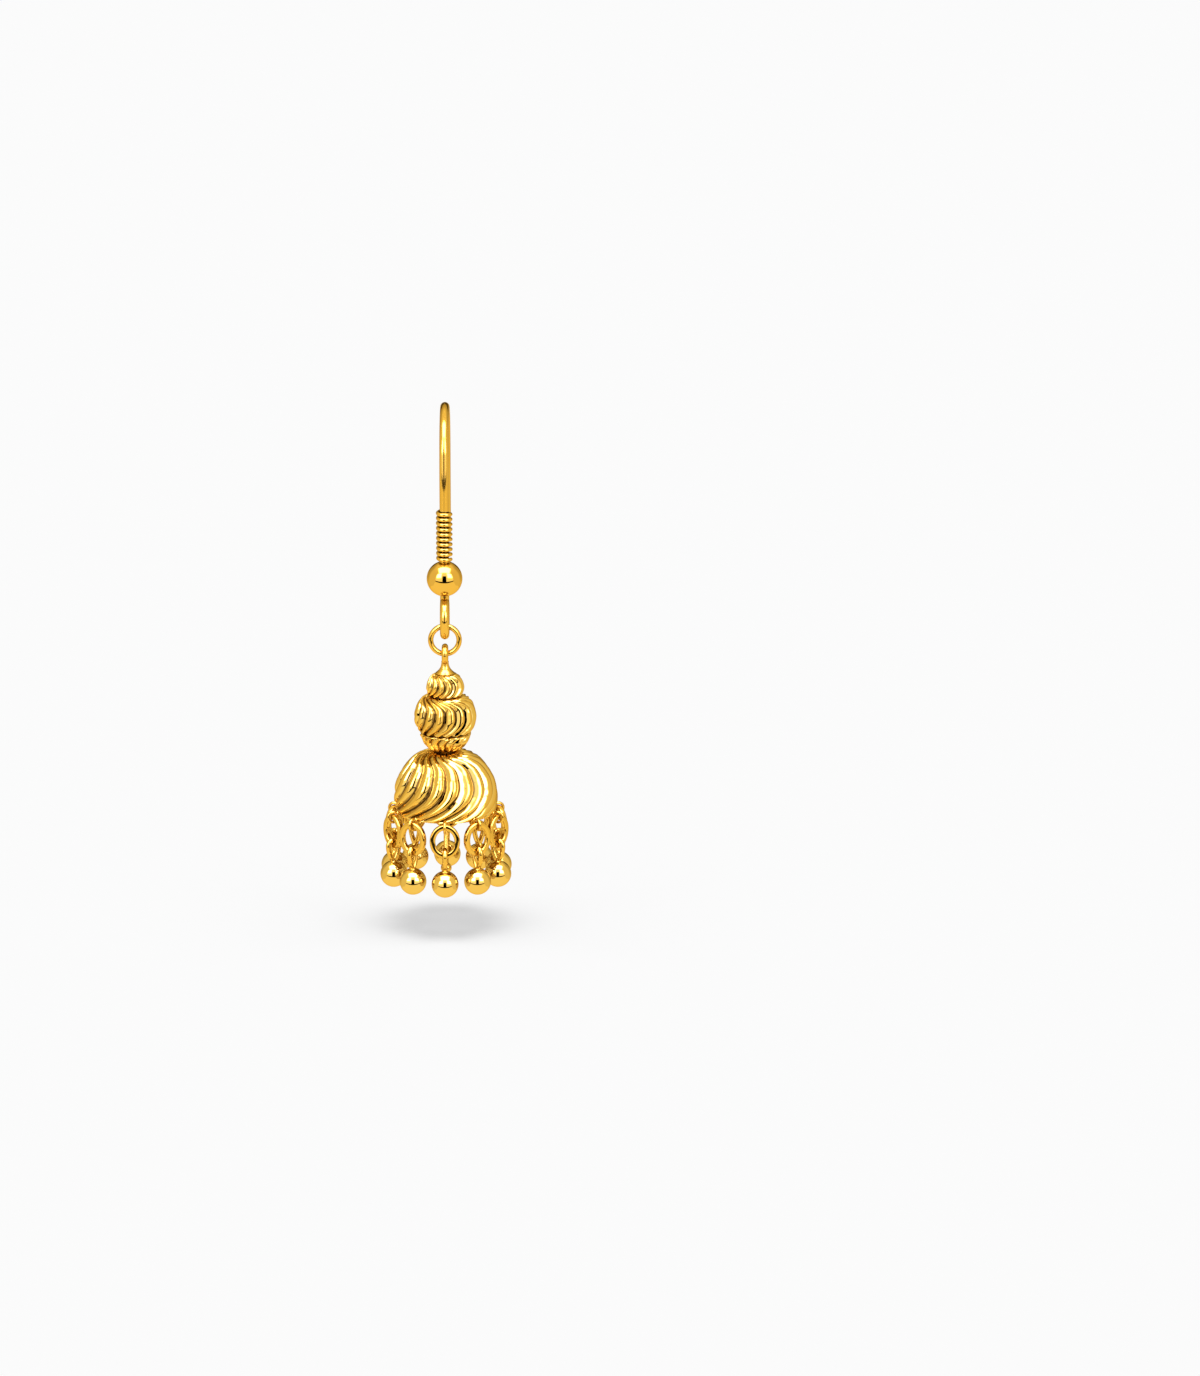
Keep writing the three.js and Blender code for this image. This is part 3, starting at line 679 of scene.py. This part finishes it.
# %% Wound coil
COIL_PITCH = 0.43
COIL_WIRE_D = 0.31
COIL_OVER = 0.15                 # how far the outer turns pass the solid's ends
COIL_LEVEL = 0.85                # 0 is an even helix, 1 has turns that lie level in front
COIL_SHADE = 0.748               # the groove mask half way out on a turn
COIL_SHADE_FALL = 2.6            # and how fast it falls from there, by the wire's thickness

coil_r = (EAR_WIRE_D + COIL_WIRE_D) / 2
coil_rise = coil_high - coil_low + 2 * COIL_OVER - COIL_WIRE_D
coil_angle = math.pi + 2 * math.pi * np.linspace(0, coil_rise / COIL_PITCH, 700)
coil_path = np.stack([
    coil_r * np.sin(coil_angle),
    drop_y - coil_r * np.cos(coil_angle),
    coil_high + COIL_OVER - COIL_WIRE_D / 2
    - COIL_PITCH * (coil_angle - math.pi - COIL_LEVEL * np.sin(coil_angle)) / (2 * math.pi),
], axis=1)
coil = wire(coil_path, COIL_WIRE_D, sides=20, across=(0, 0, 1))
reach_out = np.hypot(coil["points"][:, 0], coil["points"][:, 1] - drop_y) - coil_r
# Painted shade: the inner side of each turn gets a high groove mask and is painted dark.
coil["groove"] = np.clip(COIL_SHADE - COIL_SHADE_FALL * reach_out / COIL_WIRE_D, 0, 1)
make_piece("hook_coil", "wire_coil", [coil], [wire_gold])

# %% [markdown]
# The round bead is drilled, and the drill leaves a crisp edge that a polisher breaks slightly. The
# profile goes down the ball, round the lower edge, up the bore and round the upper edge.

# %% Round bead
EAR_BEAD_R = 1.5
BORE_R = 0.44
EDGE_BREAK = 0.05

bead_z = middle("ear_wire_bead")[2]
bore_polar = math.asin((BORE_R + EDGE_BREAK) / EAR_BEAD_R)
bead_skin = ball_profile(EAR_BEAD_R, bead_z, bore_polar, math.pi - bore_polar, 64)
bore_half = EAR_BEAD_R * math.cos(bore_polar) - EDGE_BREAK
bore_skin = np.stack([np.full(10, BORE_R), np.linspace(bead_z - bore_half, bead_z + bore_half, 10)], axis=1)
make_piece("hook_bead", "ear_wire_bead",
           [turned(np.concatenate([bead_skin, bore_skin]), ends="ring", sides=96)], [mirror_gold])

# %% [markdown]
# The jump ring is a plain ring of thinner wire that hangs in the foot loop, square to it.

# %% Jump ring
JUMP_RING_R = 1.195
JUMP_RING_WIRE_D = 0.46
LINK_CLEARANCE = 0.09            # the solids' gap between two linked wires

jump_ring_path = oval(JUMP_RING_R, JUMP_RING_R, (0, drop_y, ring_foot_z + JUMP_RING_R), "xz", 96)
make_piece("link_ring", "jump_ring",
           [wire(jump_ring_path, JUMP_RING_WIRE_D, closed=True, sides=28, across=(0, 1, 0))], [wire_gold])

# %% [markdown]
# The bail carries the whole drop: a loop, a neck that opens like a trumpet over the first bead, a pin
# down through every bead, a flat stop under the dome's crown, and a small knob at the end. The trumpet is
# waist + (flare - waist) . t to a power, which stays slim and opens late.

# %% Bail and pin
BAIL_R = 0.62
BAIL_WIRE_D = 0.54
NECK_WAIST_R = 0.31
FLARE_R = 0.8
FLARE_POWER = 2.6
PIN_R = 0.2
COLLAR_R = 0.65
COLLAR_THICKNESS = 0.3
COLLAR_GAP = 0.1                 # below the dome's crown
KNOB_R = 0.46
DOME_WALL = 0.45

bail_z = ring_foot_z + (JUMP_RING_WIRE_D + BAIL_WIRE_D) / 2 + LINK_CLEARANCE - BAIL_R
flare_z = high("bead_small")[2] + 0.02
knob_z = low("drop_bail")[2] + KNOB_R
collar_z = high("dome")[2] - DOME_WALL - COLLAR_GAP
share = np.linspace(0, 1, 40)
neck_top = bail_z - BAIL_R
neck = np.stack([
    NECK_WAIST_R + (FLARE_R - NECK_WAIST_R) * share**FLARE_POWER,
    neck_top + (flare_z + 0.06 - neck_top) * share,
], axis=1)
stem = np.concatenate([
    neck,
    [[FLARE_R, flare_z + 0.02], [FLARE_R - 0.03, flare_z], [PIN_R + 0.02, flare_z], [PIN_R, flare_z - 0.02]],
    straight((PIN_R, flare_z - 0.1), (PIN_R, collar_z + 0.02), 12),
    [[PIN_R + 0.02, collar_z], [COLLAR_R - 0.03, collar_z], [COLLAR_R, collar_z - 0.03],
     [COLLAR_R, collar_z - COLLAR_THICKNESS + 0.03], [COLLAR_R - 0.03, collar_z - COLLAR_THICKNESS],
     [PIN_R + 0.02, collar_z - COLLAR_THICKNESS], [PIN_R, collar_z - COLLAR_THICKNESS - 0.02]],
    ball_profile(KNOB_R, knob_z, math.asin(PIN_R / KNOB_R), math.pi - 0.03, 30),
])
bail_loop = wire(oval(BAIL_R, BAIL_R, (0, drop_y, bail_z), "yz", 72), BAIL_WIRE_D, closed=True, sides=28)
make_piece("bail_and_pin", "drop_bail", [bail_loop, turned(stem, sides=64)], [wire_gold])

# %% [markdown]
# Now the fluted pieces, which make this a jhumka. Each is a turned form whose surface is gathered into
# round lobes, like the strands of a rope, with a sharp groove between two. The grooves don't run straight
# down: they are swept back at the top and again at the foot, so seen from in front they bow like a C.
# One function makes them all, from a short table of sections with shares of the piece's own sizes.

# %% Fluted surfaces
LOBE_ROUNDNESS = 1.5             # 1 is a half circle, larger is flatter
LOBE_CREST = 0.62                # where a lobe is highest, as a share of the way to the right
COLUMNS_PER_LOBE = 26
MASK_GAIN = 2.5                  # the groove mask is full long before the groove's full depth
BORE_MASK = 0.6
INSIDE_MASK = 0.5
PIN_BORE_R = 0.32
LOBE_SHIFT = 0.035               # how much the maker's hand varies a lobe's place, as a share of its width
LOBE_STRENGTH = 0.03             # and its depth
RIPPLES = ((0.006, 5.2, 1.7, 0.0), (0.004, 8.3, -2.3, 1.3), (0.003, -3.1, 2.9, 2.1))
hand = np.random.default_rng(11)


def lobe(share):
    """Height across a lobe: a circle's arc of chord -1 to 1, scaled to run from 0 to 1 and back to 0.
    The share is first raised to the power that brings the crest to its place."""
    x = 2 * share ** (math.log(0.5) / math.log(LOBE_CREST)) - 1
    floor_level = math.sqrt(LOBE_ROUNDNESS**2 - 1)
    return (np.sqrt(LOBE_ROUNDNESS**2 - x**2) - floor_level) / (LOBE_ROUNDNESS - floor_level)


def swept_back(down, sweep):
    """The grooves' turn in radians: none at the belly, growing as a power towards the top and foot."""
    over = np.clip((sweep["belly"] - down) / sweep["belly"], 0, None)
    under = np.clip((down - sweep["belly"]) / (1 - sweep["belly"]), 0, None)
    degrees = sweep["top"] * over ** sweep["top_power"] + sweep["foot"] * under ** sweep["foot_power"]
    return -np.radians(degrees)


def fluted(piece, sections, sweep, top, rows=150):
    """Rows of points and their groove mask. The profile runs through the sections. At each place the
    surface sinks along the profile's own normal by depth . groove . (1 - lobe)."""
    table = np.asarray(sections, float)
    scaled = np.column_stack([table[:, 1] * piece["radius"], -table[:, 0] * piece["height"], table[:, 2]])
    curve = through(scaled, rows)
    r, z, reach = curve[:, 0], curve[:, 1], np.clip(curve[:, 2], 0, 1)
    slope = np.gradient(curve[:, :2], axis=0)
    slope /= np.linalg.norm(slope, axis=1, keepdims=True)
    normal_r, normal_z = -slope[:, 1], slope[:, 0]
    flutes = piece["flutes"]
    number, share = np.divmod(np.arange(flutes * COLUMNS_PER_LOBE), COLUMNS_PER_LOBE)
    share = share / COLUMNS_PER_LOBE
    shift = hand.normal(0, LOBE_SHIFT, flutes + 1)
    shift[-1] = shift[0]
    drift = shift[number] * (1 - share) + shift[number + 1] * share
    strength = 1 + hand.normal(0, LOBE_STRENGTH, flutes)[number]
    down = -z / piece["height"]
    angle = 2 * math.pi * (number + share + drift) / flutes + swept_back(down, sweep)[:, None]
    hollow = 1 - lobe(share)
    sink = piece["depth"] * reach[:, None] * hollow * strength + ripple(angle * r[:, None], z[:, None])
    mask = np.clip(MASK_GAIN * reach, 0, 1)[:, None] * hollow
    radius = r[:, None] - sink * normal_r[:, None]
    height = z[:, None] - sink * normal_z[:, None]
    points = np.stack([radius * np.sin(angle), drop_y - radius * np.cos(angle), top + height], axis=-1)
    return points, mask


def ripple(round_mm, down_mm):
    """The polisher's waviness in millimetres. It is a sum of crossing sine waves, each of them
    height . sin(a . down + b . round + start)."""
    return sum(height * np.sin(a * down_mm + b * round_mm + start) for height, a, b, start in RIPPLES)


def bore_rows(first, last, top_z, foot_z, bore_r=PIN_BORE_R, count=8):
    """Plain rows that go up the pin's bore, turned smoothly from the foot's last row to the top's first."""
    def azimuth(row):
        return np.unwrap(np.arctan2(row[:, 0], drop_y - row[:, 1]))
    start, end = azimuth(last), azimuth(first)
    end = end + 2 * math.pi * np.round((start - end).mean() / (2 * math.pi))
    t = np.linspace(0, 1, count)[:, None]
    angle = start * (1 - t) + end * t
    z = np.broadcast_to(foot_z + (top_z - foot_z) * t, angle.shape)
    return np.stack([bore_r * np.sin(angle), drop_y - bore_r * np.cos(angle), z], axis=-1)


print("lobe height at its edge, quarter and middle:", lobe(np.array([0, 0.25, 0.5])).round(2))

# %% [markdown]
# The three fluted beads are stacked: a small one under the bail, a larger one, and a cup that holds it
# from below. Their tables go from the top face down to the foot: share of the height, share of the
# radius, share of the groove's depth.

# %% Fluted beads and cup
SMALL_BEAD = {"radius": 1.6, "height": 1.8, "depth": 0.24, "flutes": 14}
MIDDLE_BEAD = {"radius": 2.66, "height": 3.1, "depth": 0.36, "flutes": 16}
CUP = {"radius": 2.17, "height": 1.5, "depth": 0.26, "flutes": 16}

SMALL_BEAD_SECTIONS = [(0, 0.52, 0.1), (0.02, 0.61, 0.35), (0.14, 0.79, 0.7), (0.345, 0.92, 0.95),
                       (0.53, 0.985, 1), (0.71, 1, 1), (0.92, 0.95, 1), (1, 0.91, 0.9)]
MIDDLE_BEAD_SECTIONS = [(0, 0.5, 0), (0.004, 0.6, 0.25), (0.035, 0.7, 0.55), (0.14, 0.825, 0.8),
                        (0.28, 0.915, 0.95), (0.44, 0.975, 1), (0.59, 1, 1), (0.74, 0.975, 1),
                        (0.88, 0.91, 1), (1, 0.82, 0.8)]
CUP_SECTIONS = [(0, 0.86, 0), (0.004, 0.96, 0.3), (0.04, 0.995, 0.8), (0.24, 0.963, 1),
                (0.47, 0.9, 1), (0.7, 0.79, 1), (0.92, 0.635, 0.8), (1, 0.5, 0.4)]
SMALL_BEAD_SWEEP = {"belly": 0.45, "top": 26, "top_power": 2.4, "foot": 28, "foot_power": 2.4}
MIDDLE_BEAD_SWEEP = {"belly": 0.35, "top": 45, "top_power": 3, "foot": 32, "foot_power": 3}
CUP_SWEEP = {"belly": 0.65, "top": -24, "top_power": 2, "foot": 0, "foot_power": 1}


def fluted_bead(name, node, piece, sections, sweep):
    """A fluted bead with the pin's bore through it, closed in one surface."""
    top = high(node)[2]
    skin, mask = fluted(piece, sections, sweep, top, rows=110)
    bore = bore_rows(skin[0], skin[-1], top, top - piece["height"])
    depth = np.concatenate([mask, np.full(bore.shape[:2], BORE_MASK)])
    return make_piece(name, node, [lattice(np.concatenate([skin, bore]), "ring", depth)], [fluted_gold])


fluted_bead("upper_bead", "bead_small", SMALL_BEAD, SMALL_BEAD_SECTIONS, SMALL_BEAD_SWEEP)
fluted_bead("lower_bead", "bead_middle", MIDDLE_BEAD, MIDDLE_BEAD_SECTIONS, MIDDLE_BEAD_SWEEP)
fluted_bead("bead_cup", "fluted_cup", CUP, CUP_SECTIONS, CUP_SWEEP)

# %% [markdown]
# The dome is the bell that gives the jhumka its name. It is hollow. Outside it is fluted, at the rim the
# lobes fade into a plain edge, and inside it is smooth and only roughly polished. Ten small wire eyelets
# are soldered round the rim, upright and pointing out, each in a little bead of solder.

# %% Dome
DOME = {"radius": 4.4, "height": 5.23, "depth": 0.40, "flutes": 18}
DOME_SECTIONS = [(0, 0.16, 0), (0.001, 0.23, 0.12), (0.012, 0.34, 0.3), (0.046, 0.487, 0.48),
                 (0.105, 0.615, 0.64), (0.2, 0.736, 0.8), (0.312, 0.84, 0.92), (0.445, 0.924, 1), (0.58, 0.975, 1),
                 (0.72, 0.998, 1), (0.85, 0.994, 1), (0.945, 0.976, 0.85), (1, 0.96, 0.15)]
DOME_SWEEP = {"belly": 0.3, "top": 37, "top_power": 3.6, "foot": 48, "foot_power": 2.5}
DOME_ROWS = 152                  # with these the dome stays under 200,000 triangles
DOME_INSIDE_ROWS = 26
FRINGE_COUNT = 10
EYELET_WIRE_D = 0.24
EYELET_HEIGHT = 1.13
EYELET_ABOVE_RIM = 0.34
SOLDER_R = 0.17
RIM_RING_WIRE_D = 0.48

crown_z = high("dome")[2]
rim_z = crown_z - DOME["height"]
rim_r = DOME["radius"] * DOME_SECTIONS[-1][1]
eyelet_half_width = (RIM_RING_WIRE_D + EYELET_WIRE_D) / 2 + LINK_CLEARANCE
eyelet_half_height = (EYELET_HEIGHT - EYELET_WIRE_D) / 2
eyelet_z = rim_z + EYELET_ABOVE_RIM - EYELET_HEIGHT / 2
fringe_r = drop_y - middle("rim_ring_01")[1]
fringe_angles = 2 * math.pi * np.arange(FRINGE_COUNT) / FRINGE_COUNT


def dome_skin():
    """Outside, rim, inside and bore as one closed surface, and which of its faces lie inside."""
    outside, mask = fluted(DOME, DOME_SECTIONS, DOME_SWEEP, crown_z, rows=DOME_ROWS)
    rim_angle = np.arctan2(outside[-1, :, 0], drop_y - outside[-1, :, 1])
    inner = np.asarray(DOME_SECTIONS)[2:, :2][::-1]
    inner_curve = through(np.column_stack([
        inner[:, 1] * DOME["radius"] - DOME_WALL,
        -DOME_WALL - inner[:, 0] * (DOME["height"] - DOME_WALL),
    ]), DOME_INSIDE_ROWS)
    lip = [[rim_r - 0.03, -DOME["height"] - 0.02], [rim_r - 0.12, -DOME["height"] - 0.03],
           [rim_r - DOME_WALL + 0.05, -DOME["height"] - 0.02]]
    crown = [[0.9, -DOME_WALL], [0.34, -DOME_WALL]]
    profile = np.concatenate([lip, inner_curve, crown])
    under = np.stack([profile[:, :1] * np.sin(rim_angle), drop_y - profile[:, :1] * np.cos(rim_angle),
                      np.broadcast_to(crown_z + profile[:, 1:], (len(profile), len(rim_angle)))], axis=-1)
    bore = bore_rows(outside[0], under[-1], crown_z, crown_z - DOME_WALL, count=4)
    points = np.concatenate([outside, under, bore])
    depth = np.concatenate([mask, np.full(under.shape[:2], INSIDE_MASK),
                            np.full(bore.shape[:2], BORE_MASK)])
    first_inner_row = len(outside) + len(lip)
    return lattice(points, "ring", depth), np.arange(len(points)) >= first_inner_row


dome_shell, row_is_inside = dome_skin()
inside_faces = np.repeat(row_is_inside, DOME["flutes"] * COLUMNS_PER_LOBE).astype(np.int32)
eyelet = wire(oval(eyelet_half_width, eyelet_half_height, (0, drop_y - fringe_r, eyelet_z), "yz", 48),
              EYELET_WIRE_D, closed=True, sides=16)
solder = turned(ball_profile(SOLDER_R, 0, 0.1, math.pi - 0.1, 16) * [1, 1.5] + [0, rim_z + 0.05],
                centre=(0, drop_y - rim_r + 0.02), sides=20)
eyelets = [turned_about(shell, angle, (0, drop_y)) for angle in fringe_angles for shell in (eyelet, solder)]
make_piece("dome_bell", "dome", [dome_shell, *eyelets], [fluted_gold, inner_gold], inside_faces)

# %% [markdown]
# The fringe is ten rings and ten balls. A ring hangs in each eyelet and lies along the rim. A ball hangs
# in each ring, by a narrow loop whose two ends meet in a small cone of solder on the ball. One of each is
# worked out at the front. There it is twisted a little about its own upright, as a loose ring hangs in its
# eyelet, and then turned about the drop's axis to its place.

# %% Fringe
RIM_RING_HALF_WIDTH = 1.04
RIM_RING_HALF_HEIGHT = 1.235
RIM_RING_SQUARENESS = 4
BALL_R = 1.135
BALL_LOOP_WIRE_D = 0.42
BALL_LOOP_HEIGHT = 2.05
BALL_FOOT_HALF = 0.13
BALL_PALENESS = 0.4              # the balls' thin plating is this far on the way to the groove gold
TWIST_DEGREES = (2, -3, -19, 12, -6, 5, 7, -11, 18, 4)

front_y = drop_y - fringe_r
rim_ring_z = middle("rim_ring_01")[2]
ball_z = low("ball_drop_01")[2] + BALL_R
ring_shell = wire(oval(RIM_RING_HALF_WIDTH, RIM_RING_HALF_HEIGHT, (0, front_y, rim_ring_z), "xz", 64),
                  RIM_RING_WIRE_D, closed=True, sides=32, across=(0, 1, 0), squareness=RIM_RING_SQUARENESS)


def ball_loop_path(steps=64):
    """A drop-shaped path: a half circle above, and below it two strands that close in to the foot. Its
    half width is hw . sin t above, and (foot + (hw - foot) . sin squared t) . sin t below."""
    t = np.linspace(0, 2 * math.pi, steps, endpoint=False)
    half_width = (RIM_RING_WIRE_D + BALL_LOOP_WIRE_D) / 2 + LINK_CLEARANCE
    bend_z = ball_z + BALL_R + BALL_LOOP_HEIGHT - BALL_LOOP_WIRE_D / 2 - half_width
    foot_z = ball_z + BALL_R - 0.12
    lift = np.cos(t)
    width = np.where(lift >= 0, half_width, BALL_FOOT_HALF + (half_width - BALL_FOOT_HALF) * (1 - lift**2))
    z = bend_z + lift * np.where(lift >= 0, half_width, bend_z - foot_z)
    return np.stack([np.zeros(steps), front_y + width * np.sin(t), z], axis=1)


ball_shell = turned(ball_profile(BALL_R, ball_z, 0.02, math.pi - 0.02, 48), centre=(0, front_y), sides=72)
ball_shell["groove"] = np.full(len(ball_shell["points"]), BALL_PALENESS)
loop_shell = wire(ball_loop_path(), BALL_LOOP_WIRE_D, closed=True, sides=20)
# The solder's cone widens from 0.14 mm of radius, above the ball, to 0.34 mm, just inside it.
cone_share = np.linspace(0, 1, 12)
cone = np.stack([0.14 + 0.2 * cone_share**2, ball_z + BALL_R + 0.26 - 0.32 * cone_share], axis=1)
cone_shell = turned(np.concatenate([[[0.08, ball_z + BALL_R + 0.28]], cone, [[0.2, ball_z + BALL_R - 0.1]]]),
                    centre=(0, front_y), sides=28)

for i, (angle, twist) in enumerate(zip(fringe_angles, np.radians(TWIST_DEGREES))):
    number = f"{i + 1:02d}"
    hung = [turned_about(shell, twist, (0, front_y))
            for shell in (ring_shell, ball_shell, loop_shell, cone_shell)]
    place = [turned_about(shell, angle, (0, drop_y)) for shell in hung]
    make_piece(f"fringe_ring_{number}", f"rim_ring_{number}", place[:1], [mirror_gold])
    make_piece(f"fringe_ball_{number}", f"ball_drop_{number}", place[1:], [mirror_gold])
